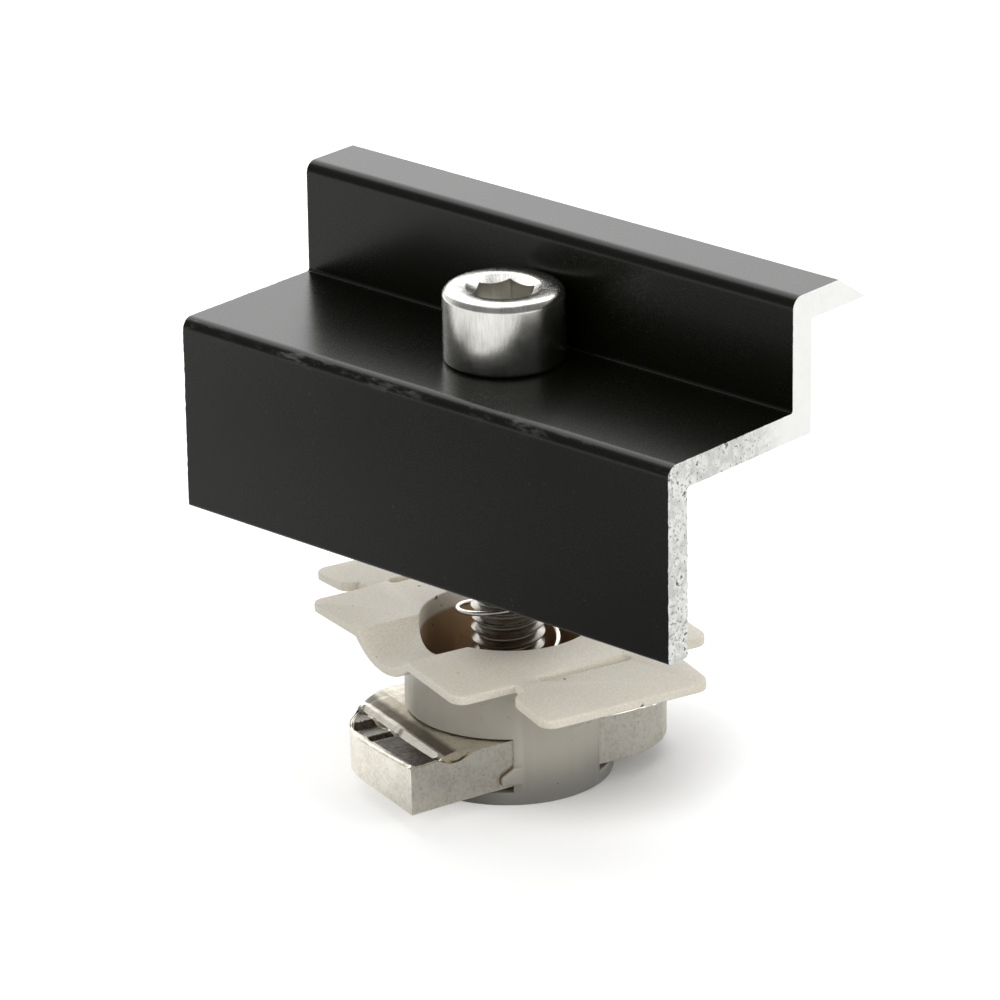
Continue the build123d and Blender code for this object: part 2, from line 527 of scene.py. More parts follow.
    def combine(self, other: "Piece", operation: str) -> None:
        """Unite with, cut by or intersect with another piece, which is used up.

        Args:
            other: The other piece.
            operation: The Boolean modifier's operation.
        """
        self.modify("BOOLEAN", object=other.object, operation=operation, solver="EXACT")
        bpy.data.objects.remove(other.object)

    def roughen(self, size: float, height: float, weight: Callable[[Vector], float],
                direction: str = "NORMAL") -> None:
        """Push the surface in and out by a cloudy noise.

        Args:
            size: The size of the noise's cells.
            height: How far its highest point lies over its lowest.
            weight: How much of it a place gets, 0 to 1.
            direction: The way that a place moves: NORMAL, or one axis.
        """
        group = self.object.vertex_groups.new(name="roughness")
        for vertex in self.object.data.vertices:
            group.add([vertex.index], weight(vertex.co), "REPLACE")
        noise = bpy.data.textures.new("roughness", "CLOUDS")
        noise.noise_scale = size
        noise.noise_depth = 3
        self.modify("DISPLACE", texture=noise, texture_coords="LOCAL", strength=height,
                    mid_level=0.5, vertex_group=group.name, direction=direction)
        self.object.vertex_groups.clear()

    def smooth(self, angle: float = 30.0) -> None:
        """Shade the piece smooth, with edges sharper than an angle in degrees left sharp."""
        self.focus()
        bpy.ops.object.shade_smooth_by_angle(angle=math.radians(angle))

    def dress(self, slot: Slot, nodes: Iterable[str], *materials: bpy.types.Material) -> None:
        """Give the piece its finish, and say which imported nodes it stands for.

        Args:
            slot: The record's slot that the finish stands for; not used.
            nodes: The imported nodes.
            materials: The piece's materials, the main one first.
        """
        self.object.data.materials.clear()
        for material in materials:
            self.object.data.materials.append(material)
        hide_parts(*nodes)
        LOG.info("%s: %d faces", self.object.name, len(self.object.data.polygons))


# Finishes


@dataclass(frozen=True)
class BlackAnodising:
    """Satin black anodising, scuffed along the profile's shoulder."""

    shoulder: tuple[float, float]
    black: Colour = (0.0026, 0.0030, 0.0010)
    scuff: Colour = (0.20, 0.20, 0.19)
    roughness: float = 0.27
    scuff_reach: float = 1.9 * MM
    scuff_cells: Point = (260.0, 900.0, 900.0)
    patch_cells: float = 45.0
    handling_cells: float = 90.0
    speck_cells: float = 1500.0
    grain_cells: float = 5200.0
    grain_depth: float = 0.003 * MM

    def material(self) -> bpy.types.Material:
        """Return the finish as a material."""
        graph = ShaderGraph("black_anodising")
        place = graph.place()
        across, up = graph.axes(place)[1:]
        handling = graph.noise(place, self.handling_cells, 4.0)
        grain = graph.noise(place, self.grain_cells, 1.0)
        from_shoulder = abs(across - self.shoulder[0]) + abs(up - self.shoulder[1])
        rubbed = graph.noise(graph.place(self.scuff_cells), 1.0, 4.0, 0.7)
        patches = graph.noise(place, self.patch_cells, 1.0)
        near = 1.0 - from_shoulder.ramp(0.0, self.scuff_reach)
        scuffs = near * rubbed.ramp(0.50, 0.70) * patches.ramp(0.42, 0.60)
        specks = graph.noise(place, self.speck_cells, 1.0).ramp(0.76, 0.82)
        colour = graph.mix(scuffs * 0.5 + specks * 0.12, self.black, self.scuff)
        roughness = handling * 0.06 + grain * 0.04 + scuffs * 0.2 + (self.roughness - 0.05)
        normal = graph.bump(grain, 0.2, self.grain_depth)
        return graph.surface(Base_Color=colour, Roughness=roughness, Specular_IOR_Level=0.36,
                             Normal=normal)


@dataclass(frozen=True)
class SawnAluminium:
    """Bare aluminium that a saw tore: near white, and pitted and darker towards the leg."""

    torn_to: float = -1.0 * MM
    clean_from: float = 6.0 * MM
    bare: Colour = (0.97, 0.97, 0.945)
    streak: Colour = (0.62, 0.62, 0.60)
    pit: Colour = (0.13, 0.13, 0.12)
    roughness: float = 0.55
    fine_cells: float = 2600.0
    medium_cells: float = 900.0
    patch_cells: float = 260.0
    pit_depth: float = 0.06 * MM

    def material(self) -> bpy.types.Material:
        """Return the finish as a material."""
        graph = ShaderGraph("sawn_aluminium")
        place = graph.place()
        across = graph.axes(place)[1]
        torn = 1.0 - across.ramp(self.torn_to, self.clean_from)
        fine = graph.noise(place, self.fine_cells, 4.0, 0.7)
        medium = graph.noise(place, self.medium_cells, 3.0, 0.65)
        patch = graph.noise(place, self.patch_cells, 2.0)
        dense = patch.ramp(0.35, 0.65) * 0.07
        specks = (1.0 - (fine + dense).ramp(0.39, 0.475)) * torn
        craters = (1.0 - (medium * 0.8 + fine * 0.2).ramp(0.355, 0.398)) * torn
        mottled = (medium * 0.6 + patch * 0.4).ramp(0.42, 0.58)
        # Darker towards the leg: besides the mottling, about a quarter of the streak colour is mixed in
        # there.
        mottle_darker_to_leg = mottled * (torn * 0.6 + 0.07) + torn * 0.26
        colour = graph.mix(mottle_darker_to_leg, self.bare, self.streak)
        colour = graph.mix(specks * 0.7, colour, self.pit)
        colour = graph.mix(craters * 0.95, colour, self.pit)
        height = 1.0 - craters - specks * 0.4 + fine * 0.3
        normal = graph.bump(height, 0.6, self.pit_depth)
        return graph.surface(Base_Color=colour, Metallic=0.1, Roughness=self.roughness, Normal=normal)


@dataclass(frozen=True)
class BrightSteel:
    """Stainless steel of the screw, with drag marks down its head and painted shade on its thread."""

    head_foot: float
    colour: Colour = (0.90, 0.885, 0.84)
    dull: Colour = (0.66, 0.645, 0.60)
    thread_shade: Colour = (0.20, 0.185, 0.155)
    roughness: float = 0.21
    thread_shade_run: float = 2.0 * MM
    marks_round: float = 12.0
    marks_up: float = 130.0
    cloud_cells: float = 420.0
    mark_depth: float = 0.035 * MM

    def material(self) -> bpy.types.Material:
        """Return the finish as a material."""
        graph = ShaderGraph("bright_stainless_steel")
        place = graph.place()
        along, across, up = graph.axes(place)
        angle = graph.node("ShaderNodeMath", {"operation": "ARCTAN2"}, across, along).out()
        ring = graph.node("ShaderNodeCombineXYZ", None, angle * self.marks_round, 0.0,
                          up * self.marks_up).out()
        drag = graph.noise(ring, 3.0, 5.0, 0.7)
        cloud = graph.noise(place, self.cloud_cells, 4.0, 0.6)
        colour = graph.mix((drag * 0.6 + cloud * 0.4).ramp(0.36, 0.60), self.dull, self.colour)
        # Painted shade and painted dark reflection: below the head's foot the steel is mixed towards
        # dark brown.
        shaded_thread = 1.0 - up.ramp(self.head_foot - self.thread_shade_run, self.head_foot)
        colour = graph.mix(shaded_thread * 0.8, colour, self.thread_shade)
        roughness = cloud * 0.10 + drag * 0.08 + (self.roughness - 0.09)
        normal = graph.bump(drag + cloud * 0.3, 0.5, self.mark_depth)
        return graph.surface(Base_Color=colour, Metallic=1.0, Roughness=roughness, Normal=normal)


@dataclass(frozen=True)
class SpringWire:
    """Drawn stainless wire."""

    colour: Colour = (0.78, 0.755, 0.69)
    dull: Colour = (0.52, 0.50, 0.45)
    roughness: float = 0.2
    tone_cells: float = 700.0

    def material(self) -> bpy.types.Material:
        """Return the finish as a material."""
        graph = ShaderGraph("drawn_spring_wire")
        tone = graph.noise(graph.place(), self.tone_cells, 3.0)
        colour = graph.mix(tone.ramp(0.3, 0.7), self.dull, self.colour)
        return graph.surface(Base_Color=colour, Metallic=1.0,
                             Roughness=tone * 0.16 + (self.roughness - 0.08))


@dataclass(frozen=True)
class PressedNickel:
    """Bright nickel on a pressed steel nut, finely pebbled by the tool, with painted shade in its
    pockets.
    """

    top: float
    angle: float
    light: Colour = (0.89, 0.855, 0.765)
    dark: Colour = (0.73, 0.69, 0.60)
    speck: Colour = (0.10, 0.09, 0.075)
    pocket_shade: Colour = (0.035, 0.028, 0.019)
    roughness: float = 0.32
    pebble_cells: float = 2400.0
    swell_cells: float = 520.0
    speck_cells: float = 3100.0
    pebble_depth: float = 0.05 * MM
    pocket: tuple = (13.3 * MM, 13.9 * MM, 16.9 * MM, 17.3 * MM)
    ledge: tuple = (10.6 * MM, 11.4 * MM, 12.7 * MM, 13.0 * MM)
    sunk: tuple[float, float] = (0.32 * MM, 0.14 * MM)
    relief: float = 2.4 * MM

    def material(self) -> bpy.types.Material:
        """Return the finish as a material."""
        graph = ShaderGraph("pressed_nickel")
        place = graph.place()
        up = graph.axes(place)[2]
        pebbles = graph.noise(place, self.pebble_cells, 3.0, 0.62)
        swell = graph.noise(place, self.swell_cells, 3.0, 0.6)
        specks = graph.noise(place, self.speck_cells, 1.0).ramp(0.70, 0.78)
        colour = graph.mix((pebbles * 0.6 + swell * 0.4).ramp(0.34, 0.60), self.dark, self.light)
        colour = graph.mix(specks * 0.5, colour, self.speck)
        facing = graph.node("ShaderNodeNewGeometry").out("True Normal")
        level = graph.axes(facing)[2].ramp(0.80, 0.92)
        low = 1.0 - up.ramp(self.top - self.sunk[0], self.top - self.sunk[1])
        reach = abs(graph.axes(graph.place(turn=(0.0, 0.0, self.angle)))[0])
        held = reach.between(*self.pocket) * 0.95 + reach.between(*self.ledge) * 0.8
        # Painted shade: up-facing sunk places in the pockets and on the ledges are mixed towards near
        # black.
        shaded_pockets = level * low * held * up.above(self.top - self.relief)
        colour = graph.mix(shaded_pockets * (pebbles * 0.3 + 0.84), colour, self.pocket_shade)
        normal = graph.bump(pebbles * 0.7 + swell * 0.3, 0.5, self.pebble_depth)
        return graph.surface(Base_Color=colour, Metallic=1.0,
                             Roughness=pebbles * 0.14 + (self.roughness - 0.06), Normal=normal)


@dataclass(frozen=True)
class MouldedPlastic:
    """Warm grey moulded plastic: a spark-eroded plate on a smoother cup painted darker as shade, with
    painted brown shade within.
    """

    plate_height: float
    bore_radius: float
    plate: Colour = (0.78, 0.735, 0.635)
    plate_speck: Colour = (0.70, 0.655, 0.56)
    cup: Colour = (0.46, 0.435, 0.375)
    shaded_cloudy: Colour = (0.52, 0.495, 0.43)
    # The foot colour is painted shade where the cup meets the floor.
    foot: Colour = (0.14, 0.137, 0.127)
    bore_shade: Colour = (0.42, 0.275, 0.15)
    dirt: Colour = (0.06, 0.045, 0.035)
    foot_shade_height: float = 7.0 * MM
    speckle_cells: float = 4200.0
    cloud_cells: float = 140.0
    dirt_cells: float = 900.0
    speckle_depth: float = 0.03 * MM

    def material(self) -> bpy.types.Material:
        """Return the finish as a material."""
        graph = ShaderGraph("warm_grey_moulding")
        place = graph.place()
        along, across, up = graph.axes(place)
        plate = up.ramp(self.plate_height - 0.5 * MM, self.plate_height + 0.1 * MM)
        radius = distance(along, across, (0.0, 0.0))
        within = 1.0 - radius.ramp(self.bore_radius + 0.05 * MM, self.bore_radius + 0.25 * MM)
        inside = within * (1.0 - up.ramp(self.plate_height + 0.7 * MM, self.plate_height + 1.3 * MM))
        speckle = graph.noise(place, self.speckle_cells, 2.0, 0.7)
        cloud = graph.noise(place, self.cloud_cells, 3.0)
        shade = graph.mix(speckle.ramp(0.40, 0.62), self.plate_speck, self.plate)
        # Painted shade: the cup has the plate's plastic at about six tenths of its brightness, for the
        # shade on its sides.
        shaded_shell = graph.mix(cloud.ramp(0.35, 0.65) * 0.2, self.cup, self.shaded_cloudy)
        # Painted shade: the cup is mixed towards near black near the floor.
        shaded_shell = graph.mix((1.0 - up.ramp(0.0, self.foot_shade_height)) * 0.8, shaded_shell, self.foot)
        # Painted shade: inside the cup, below the plate, the plastic is painted brown for its shade and
        # the light bounced within.
        colour = graph.mix(inside, graph.mix(plate, shaded_shell, shade), self.bore_shade)
        specks = graph.noise(place, self.dirt_cells, 1.0).ramp(0.77, 0.80)
        colour = graph.mix(specks * 0.8, colour, self.dirt)
        roughness = plate * 0.26 + cloud * 0.06 + 0.25
        normal = graph.bump(speckle * (plate * 0.9 + 0.1), 0.4, self.speckle_depth)
        return graph.surface(Base_Color=colour, Roughness=roughness, Normal=normal,
                             Subsurface_Weight=0.5, Subsurface_Radius=(1.0, 0.85, 0.65),
                             Subsurface_Scale=1.6 * MM)


# Sub-assemblies


@dataclass
class ClampProfile:
    """The Z-shaped extrusion that holds the module down, sawn to length and drilled."""

    wall: float = 3.0 * MM
    leg_height: float = 21.6 * MM
    upper_wall_front: float = 6.65 * MM
    flange_flat: float = 7.4 * MM
    shoulder_radius: float = 1.3 * MM
    edge_radius: float = 0.3 * MM
    hole_radius: float = 4.5 * MM
    cells_across: int = 18
    end_roughness: float = 0.16 * MM
    end_grain: float = 0.7 * MM
    calm_from: float = 1.0 * MM
    calm_run: float = 7.0 * MM
    node: str = "clamp_profile"

    def build(self) -> None:
        """Model the profile in place of its plain solid."""
        low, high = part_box(self.node)
        profile = self.section(low, high)
        profile.pick(Pick.FACE, lambda centre, normal: True)
        profile.run((high.x - low.x, 0.0, 0.0))
        profile.clean()
        web_top = low.z + self.leg_height
        drill = Piece.rod("drill", self.hole_radius, web_top - 2 * self.wall, web_top + self.wall)
        profile.combine(drill, "DIFFERENCE")
        middle = (low.x + high.x) / 2
        reach = (high.x - low.x) / 2 - HAIR

        def torn(place: Vector) -> float:
            """Return how rough the sawn end is at a place.

            Args:
                place: A point of the profile.

            Returns:
                The roughness, 0 away from the ends and 1 where the saw tore most.
            """
            if abs(place.x - middle) < reach:
                return 0.0
            return 1.0 - 0.75 * smooth_step((place.y - self.calm_from) / self.calm_run)

        profile.roughen(self.end_grain, self.end_roughness, torn, "X")
        profile.smooth(32.0)
        shoulder = low.y + 0.4 * MM, web_top - 0.4 * MM
        profile.dress(Slot.PROFILE, [self.node], BlackAnodising(shoulder).material(),
                      SawnAluminium().material())
        corners = profile.object.data.vertices
        near_end = reach - 0.4 * MM
        for face in profile.object.data.polygons:
            places = [corners[index].co.x - middle for index in face.vertices]
            face.material_index = int(min(places) > near_end or max(places) < -near_end)
        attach(profile.object, "clamp")

    def section(self, low: Vector, high: Vector) -> Piece:
        """Lay the Z section at the low end as a sheet of small faces.

        Args:
            low: The profile's lowest corner.
            high: Its highest corner.

        Returns:
            The section.
        """
        cell = self.wall / self.cells_across
        web_top = low.z + self.leg_height
        web_bottom = web_top - self.wall
        leg_back = low.y + self.wall
        wall_back = self.upper_wall_front + self.wall
        flange_foot = high.z - self.wall
        foot = [(low.x, low.y + cell * step, low.z) for step in range(self.cells_across + 1)]
        sheet = Piece.line("z_profile", foot)
        sheet.pick(Pick.EDGE, lambda centre, direction: True)
        self.stretch(sheet, 2, web_bottom - low.z)
        sheet.run((0.0, 0.0, cell), self.cells_across)
        sheet.pick(Pick.EDGE, lambda centre, direction: (
            abs(direction.z) > 0.9 and centre.y > leg_back - cell / 2 and centre.z > web_bottom))
        self.stretch(sheet, 1, self.upper_wall_front - leg_back)
        sheet.run((0.0, cell, 0.0), self.cells_across)
        sheet.pick(Pick.EDGE, lambda centre, direction: (
            abs(direction.y) > 0.9 and centre.y > self.upper_wall_front
            and centre.z > web_top - cell / 2))
        self.stretch(sheet, 2, flange_foot - web_top)
        sheet.run((0.0, 0.0, cell), self.cells_across)
        sheet.pick(Pick.EDGE, lambda centre, direction: (
            abs(direction.z) > 0.9 and centre.y > wall_back - cell / 2 and centre.z > flange_foot))
        self.stretch(sheet, 1, high.y - wall_back)
        flat_end = self.upper_wall_front + self.flange_flat

        def shape(point: Vector) -> Vector:
            """Slant the flange's nose, and round and fill the section's corners.

            Args:
                point: A point of the plain section.

            Returns:
                The point, moved.
            """
            if point.y > wall_back and point.z > flange_foot - cell / 2:
                share = (point.z - flange_foot) / self.wall
                reach = (high.y - wall_back) + (flat_end - high.y) * share
                point.y = wall_back + (point.y - wall_back) * reach / (high.y - wall_back)
            rounded = (((low.y, web_top), (1, -1), self.shoulder_radius),
                       ((self.upper_wall_front, high.z), (1, -1), self.shoulder_radius),
                       ((low.y, low.z), (1, 1), self.edge_radius),
                       ((leg_back, low.z), (-1, 1), self.edge_radius),
                       ((wall_back, web_bottom), (-1, 1), self.edge_radius))
            for corner, inward, radius in rounded:
                point = round_corner(point, corner, inward, radius)
            filled = (((self.upper_wall_front, web_top), (-1, 1)), ((leg_back, web_bottom), (1, -1)),
                      ((wall_back, flange_foot), (1, -1)))
            for corner, outward in filled:
                point = fill_corner(point, corner, outward, self.edge_radius)
            return point

        sheet.reshape(shape)
        return sheet

    def stretch(self, sheet: Piece, axis: int, length: float) -> None:
        """Extrude a strip of the section in steps of about one cell.

        Args:
            sheet: The section, with the strip's edges selected.
            axis: The axis that the strip runs along, 0 to 2.
            length: Its length.
        """
        count = round(length * self.cells_across / self.wall)
        step = [0.0, 0.0, 0.0]
        step[axis] = length / count
        sheet.run(tuple(step), count)


@dataclass
class SocketScrew:
    """The socket head cap screw, turned, threaded and broached."""

    head_radius: float = 6.5 * MM
    head_height: float = 8.0 * MM
    crown_radius: float = 0.9 * MM
    foot_radius: float = 0.5 * MM
    mouth_radius: float = 4.0 * MM
    mouth_slope: float = 0.7
    across_flats: float = 6.0 * MM
    socket_depth: float = 4.8 * MM
    socket_point: float = 0.6 * MM
    shank_radius: float = 4.0 * MM
    thread_root: float = 3.25 * MM
    thread_pitch: float = 1.25 * MM
    thread_length: float = 28.0 * MM
    thread_start: float = 0.6 * MM
    crest_gap: float = 0.03 * MM
    tip_chamfer: float = 0.8 * MM
    ring_radius: float = 3.3 * MM
    ring_depth: float = 0.5 * MM
    thread_form: tuple = ((0.0, 0.0), (0.10, 0.06), (0.16, 0.22), (0.42, 0.92), (0.46, 1.0),
                          (0.54, 1.0), (0.58, 0.92), (0.84, 0.22), (0.90, 0.06), (1.0, 0.0))
    sides: int = 96
    node: str = "socket_screw"

    def build(self) -> None:
        """Model the screw in place of its plain blank."""
        low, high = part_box(self.node)
        screw = self.head(high.z)
        screw.combine(self.shank(low.z, high.z - self.head_height), "UNION")
        screw.object.name = "cap_screw"
        screw.smooth(28.0)
        screw.dress(Slot.SCREW, [self.node], BrightSteel(high.z - self.head_height).material())
        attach(screw.object, "screw")

    def head(self, top: float) -> Piece:
        """Turn the head and broach its hexagon.

        Args:
            top: The height of the head's top.

        Returns:
            The head, closed.
        """
        foot = top - self.head_height
        floor = top - self.socket_depth
        ring = self.ring_radius
        profile = [(0.0, foot)]
        profile += arc_points((self.head_radius - self.foot_radius, foot + self.foot_radius),
                              self.foot_radius, -90.0, 0.0, 5)
        profile += arc_points((self.head_radius - self.crown_radius, top - self.crown_radius),
                              self.crown_radius, 0.0, 90.0, 8)
        profile += [(self.mouth_radius + 0.06 * MM, top), (self.mouth_radius, top - 0.03 * MM)]
        profile += [(ring, top - self.ring_depth), (ring, floor), (0.0, floor - self.socket_point)]
        head = Piece.turned("screw_head", profile, self.sides)
        flat = self.across_flats / 2

        def broach(point: Vector) -> Vector:
            """Spread the socket's rings out to the hexagon.

            Args:
                point: A point of the turned head.

            Returns:
                The point, moved if it lies on a ring.
            """
            radius = math.hypot(point.x, point.y)
            if abs(radius - ring) > 0.01 * MM:
                return point
            turn = math.radians(math.degrees(math.atan2(point.y, point.x)) % 60.0 - 30.0)
            reach = flat / math.cos(turn)
            mouth = top - (self.mouth_radius - reach) * self.mouth_slope
            return Vector((point.x * reach / radius, point.y * reach / radius,
                           mouth if point.z > floor + MM else point.z))

        head.reshape(broach)
        return head

    def shank(self, tip: float, shoulder: float) -> Piece:
        """Cut the thread up to where the plain shank starts.

        Args:
            tip: The height of the screw's tip.
            shoulder: The height of the head's bearing face.

        Returns:
            The shank, closed, reaching a little way into the head.
        """
        crest = self.shank_radius - self.crest_gap
        pitch = self.thread_pitch
        depth = crest - self.thread_root
        start = tip - 2 * pitch + self.thread_start
        points = [(self.thread_root + depth * out, 0.0, start + pitch * share)
                  for share, out in self.thread_form]
        turns = math.ceil((shoulder - tip) / pitch) + 5
        shank = Piece.line("screw_shank", points)
        shank.modify("SCREW", angle=math.tau, screw_offset=pitch, iterations=turns,
                     steps=self.sides, render_steps=self.sides, use_merge_vertices=False)
        shank.clean()
        shank.slice((0.0, 0.0, tip), (0.0, 0.0, -1.0))
        shank.slice((0.0, 0.0, shoulder + MM), (0.0, 0.0, 1.0))
        thread_end = tip + self.thread_length

        def trim(point: Vector) -> Vector:
            """Chamfer the tip, and fill the grooves where the thread runs out.

            Args:
                point: A point of the threaded shank.

            Returns:
                The point, moved in or out.
            """
            radius = math.hypot(point.x, point.y)
            if radius < 0.1 * MM:
                return point
            most = min(crest, self.shank_radius - self.tip_chamfer + (point.z - tip))
            least = self.thread_root + depth * smooth_step((point.z - thread_end) / pitch + 1.0)
            wanted = min(max(radius, min(least, crest)), most)
            return Vector((point.x * wanted / radius, point.y * wanted / radius, point.z))

        shank.reshape(trim)
        return shank


@dataclass
class CoilSpring:
    """The compression spring between the nut and the web."""

    wire: float = 0.55 * MM
    diameter: float = 11.3 * MM
    closed_coils: float = 1.0
    active_coils: float = 5.2
    closed_gap: float = 0.05 * MM
    easing_coils: float = 0.5
    start_angle: float = 13.1
    points_per_coil: int = 48
    node: str = "compression_spring"

    def build(self) -> None:
        """Wind the spring."""
        low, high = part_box(self.node)
        foot, top = low.z + self.wire / 2, high.z - self.wire / 2
        coils = 2 * self.closed_coils + self.active_coils
        count = round(coils * self.points_per_coil)
        curve = bpy.data.curves.new("coil_spring", "CURVE")
        curve.dimensions = "3D"
        spline = curve.splines.new("POLY")
        spline.points.add(count)
        for index, point in enumerate(spline.points):
            point.co = (*self.place(coils * index / count, coils, foot, top), 1.0)
        curve.bevel_depth = self.wire / 2
        curve.bevel_resolution = 4
        curve.use_fill_caps = True
        wound = bpy.data.objects.new("coil_spring", curve)
        bpy.context.scene.collection.objects.link(wound)
        bpy.ops.object.select_all(action="DESELECT")
        wound.select_set(True)
        bpy.context.view_layer.objects.active = wound
        bpy.ops.object.convert(target="MESH")
        spring = Piece("coil_spring")
        spring.clean()
        spring.smooth(40.0)
        spring.dress(Slot.SPRING, [self.node], SpringWire().material())
        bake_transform(spring.object)

    def place(self, turns: float, coils: float, foot: float, top: float) -> Point:
        """Return the wire's centre after so many turns from the spring's foot.

        Args:
            turns: How many turns the wire has made.
            coils: How many turns it makes in all.
            foot: The height of its first point.
            top: The height of its last point.

        Returns:
            The point.
        """
        radius = (self.diameter - self.wire) / 2
        rise = top - foot
        if turns > coils / 2:
            height = top - self.gain(coils - turns, coils, rise)
        else:
            height = foot + self.gain(turns, coils, rise)
        angle = math.radians(self.start_angle) + math.tau * turns
        return radius * math.cos(angle), radius * math.sin(angle), height

    def gain(self, turns: float, coils: float, rise: float) -> float:
        """Return the height gained over so many turns from a closed end.

        Args:
            turns: The turns from the end, up to the spring's middle.
            coils: How many turns the wire makes in all.
            rise: The height that the wire's centre climbs in all.

        Returns:
            The height gained.
        """
        pitch = self.wire + self.closed_gap
        extra = (rise - pitch * coils) / (self.active_coils - self.easing_coils)
        opened = max(0.0, turns - self.closed_coils)
        eased = min(opened, self.easing_coils)
        return pitch * turns + extra * (opened - eased + eased ** 2 / (2 * self.easing_coils))


@dataclass
class RailNut:
    """The pressed quarter-turn nut, with toothed grooves across both ends of its top.

    Its own lengths are along and across the bar, and its relief is a depth under its flat top.
    """

    half_length: float = 18.1 * MM
    half_width: float = 10.4 * MM
    half_waist: float = 9.6 * MM
    corner_radius: float = 9.5 * MM
    hole_radius: float = 4.05 * MM
    angle: float = 72.3
    rows: int = 12
    columns: int = 230
    lanes: int = 130
    plain_middle: float = 8.6 * MM
    middle_share: float = 0.16
    skin: float = 0.07 * MM
    skin_cells: float = 1.3 * MM
    pocket_end: float = -14.15
    teeth_end: float = -13.9
    near_groove: tuple = ((-14.15, -0.78), (-13.75, -1.02), (-13.2, -0.42), (-12.7, -0.50),
                          (-10.4, 0.0))
    far_groove: tuple = ((-14.15, -0.60), (-13.85, -0.90), (-13.4, -0.42), (-12.7, -0.46),
                         (-10.4, 0.0))
    plain_groove: tuple = ((-14.15, -0.66), (-12.7, -0.50), (-10.4, 0.0))
    front_edge: tuple = ((-18.1, -0.05), (-16.0, -0.10), (-14.6, 0.0), (-13.2, -0.72),
                         (-11.9, -0.66), (-10.3, -0.10), (-9.5, 0.0))
    rim: tuple = ((-10.4, 0.0), (-9.2, -0.20), (-6.0, -0.50), (-1.0, -0.78), (5.0, -0.75),
                  (8.0, -0.35), (10.4, -0.05))
    teeth: tuple = (8.8, 4.9, 0.9)
    tooth_face: float = 1.3
    tooth_run: float = 3.95
    tooth_depth: float = 0.85
    node: str = "rail_nut"

    def build(self) -> None:
        """Model the nut in place of its plain solid."""
        low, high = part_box(self.node)
        thickness = high.z - low.z
        nut = Piece.grid("pressed_nut", self.columns, self.lanes, 2.0)
        nut.pick(Pick.FACE, lambda centre, normal: True)
        nut.run((0.0, 0.0, 1.0 / self.rows), self.rows)
        nut.clean()
        turn = math.radians(self.angle)
        cosine, sine = math.cos(turn), math.sin(turn)

        def press(point: Vector) -> Vector:
            """Spread the unit block over the nut's outline, and press its top.

            Args:
                point: A point of the block, -1 to 1 along and across and 0 to 1 up.

            Returns:
                Its place on the nut.
            """
            along = self.spread(point.x)
            front, back = self.sides(along)
            across = front + (back - front) * (point.y + 1.0) / 2
            height = thickness + self.relief(along / MM, across / MM) * MM
            return Vector((along * cosine - across * sine, along * sine + across * cosine,
                           low.z + point.z * height))

        nut.reshape(press)
        nut.combine(Piece.rod("tap", self.hole_radius, low.z - MM, high.z + MM), "DIFFERENCE")

        def bare(place: Vector) -> float:
            """Return how rough the skin is at a place: the threaded hole stays true."""
            return smooth_step((math.hypot(place.x, place.y) - self.hole_radius) / MM - 0.2)

        nut.roughen(self.skin_cells, self.skin, bare)
        nut.smooth(22.0)
        nut.dress(Slot.NUT, [self.node], PressedNickel(high.z, self.angle).material())
        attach(nut.object, "rail_unit")

    def spread(self, share: float) -> float:
        """Return the length along the nut for a share of its columns, most of which are near its ends.

        Args:
            share: The share of the columns, -1 to 1.

        Returns:
            The length from the nut's middle.
        """
        if abs(share) < self.middle_share:
            return self.plain_middle * share / self.middle_share
        past = (abs(share) - self.middle_share) / (1.0 - self.middle_share)
        return math.copysign(self.plain_middle + (self.half_length - self.plain_middle) * past, share)

    def sides(self, along: float) -> tuple[float, float]:
        """Return where the nut's two sides lie.

        Args:
            along: The length from the nut's middle.

        Returns:
            The places of the front and the back side across the nut.
        """
        bulge = (self.half_width - self.half_waist) * (along / self.half_length) ** 2
        waist = self.half_waist + bulge
        past = max(0.0, abs(along) - self.half_length + self.corner_radius)
        drop = self.corner_radius - math.sqrt(max(0.0, self.corner_radius ** 2 - past ** 2))
        rounded = waist if past == 0.0 else min(waist, self.half_waist + 0.18 * MM - drop)
        return (-waist, rounded) if along < 0 else (-rounded, waist)

    def relief(self, along: float, across: float) -> float:
        """Return how high the nut's top is pressed, with both ends alike by half a turn.

        Args:
            along: The length from the nut's middle, in millimetres.
            across: The place across the nut, in millimetres.

        Returns:
            The height over the flat top, 0 or less, in millimetres.
        """
        if along > 0:
            along, across = -along, -across
        back_share = smooth_step((across + 0.5) / 0.7)
        teeth = self.tooth_depth * self.saw(across)
        if along < self.pocket_end:
            height = table(self.rim, across) * 0.6 - 0.34 - teeth * 0.6 * back_share
        else:
            near, far = table(self.near_groove, along), table(self.far_groove, along)
            if along < self.teeth_end:
                far -= teeth
            height = near + (far - near) * back_share
            plain = smooth_step((-7.4 - across) / 0.5) + smooth_step((across - 7.6) / 0.5)
            height += (table(self.plain_groove, along) - height) * plain
        height += (table(self.rim, across) - height) * smooth_step((-16.95 - along) / 0.35)
        front, back = (side / MM for side in self.sides(along * MM))
        at_front = smooth_step((front + 1.0 - across) / 0.6)
        height += (table(self.front_edge, along) - height) * at_front
        gap = min(along + self.half_length / MM, back - across)
        burr = 0.14 * math.exp(-((gap - 0.55) / 0.22) ** 2) if along < -13.0 else 0.0
        window = smooth_step((along + 14.2) / 0.8) * smooth_step((-10.2 - along) / 0.8)
        fold = 0.42 * math.exp(-((across - front - 1.0) / 0.28) ** 2) * window
        return min(0.0, height + burr + fold)

    def saw(self, across: float) -> float:
        """Return how deep the teeth are cut.

        Args:
            across: The place across the nut, in millimetres.

        Returns:
            The depth, from 0 at a tooth's tip to 1.
        """
        for tip in self.teeth:
            if tip - self.tooth_face <= across <= tip:
                return (tip - across) / self.tooth_face
            if tip - self.tooth_run < across < tip - self.tooth_face:
                past = tip - self.tooth_face - across
                return 1.0 - past / (self.tooth_run - self.tooth_face)
        return 0.0


